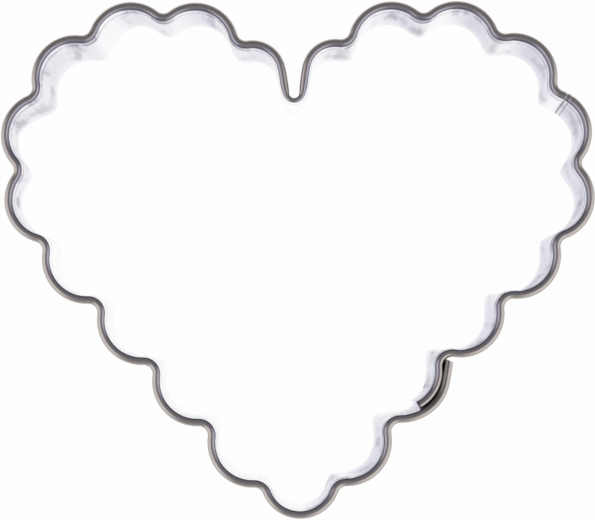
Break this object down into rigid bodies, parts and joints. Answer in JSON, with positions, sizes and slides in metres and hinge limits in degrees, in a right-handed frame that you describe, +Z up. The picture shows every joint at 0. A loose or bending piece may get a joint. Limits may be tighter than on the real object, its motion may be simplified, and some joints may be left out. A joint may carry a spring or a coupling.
{
  "type": "cookie cutter",
  "caption": "Scalloped heart cookie cutter bent from a thin steel strip, with a rolled rim, a cutting edge below and spot-welded lapped ends.",
  "frame": {"origin": "on the plane of the cutting edge, under the middle of the bounding box", "axes": "+Z up from the cutting edge to the rolled rim, +Y from the tip to the notch, +X across the heart to the side with the lap"},
  "size_m": [0.1004, 0.088, 0.022],
  "materials": {
    "strip_steel": "bright and smooth, tin-plated or stainless, softly mirroring",
    "weld_steel": "dull and slightly darkened by the weld"
  },
  "bodies": {
    "root": {"cutter_strip": "strip_steel", "spot_welds": "weld_steel"}
  },
  "joints": []
}
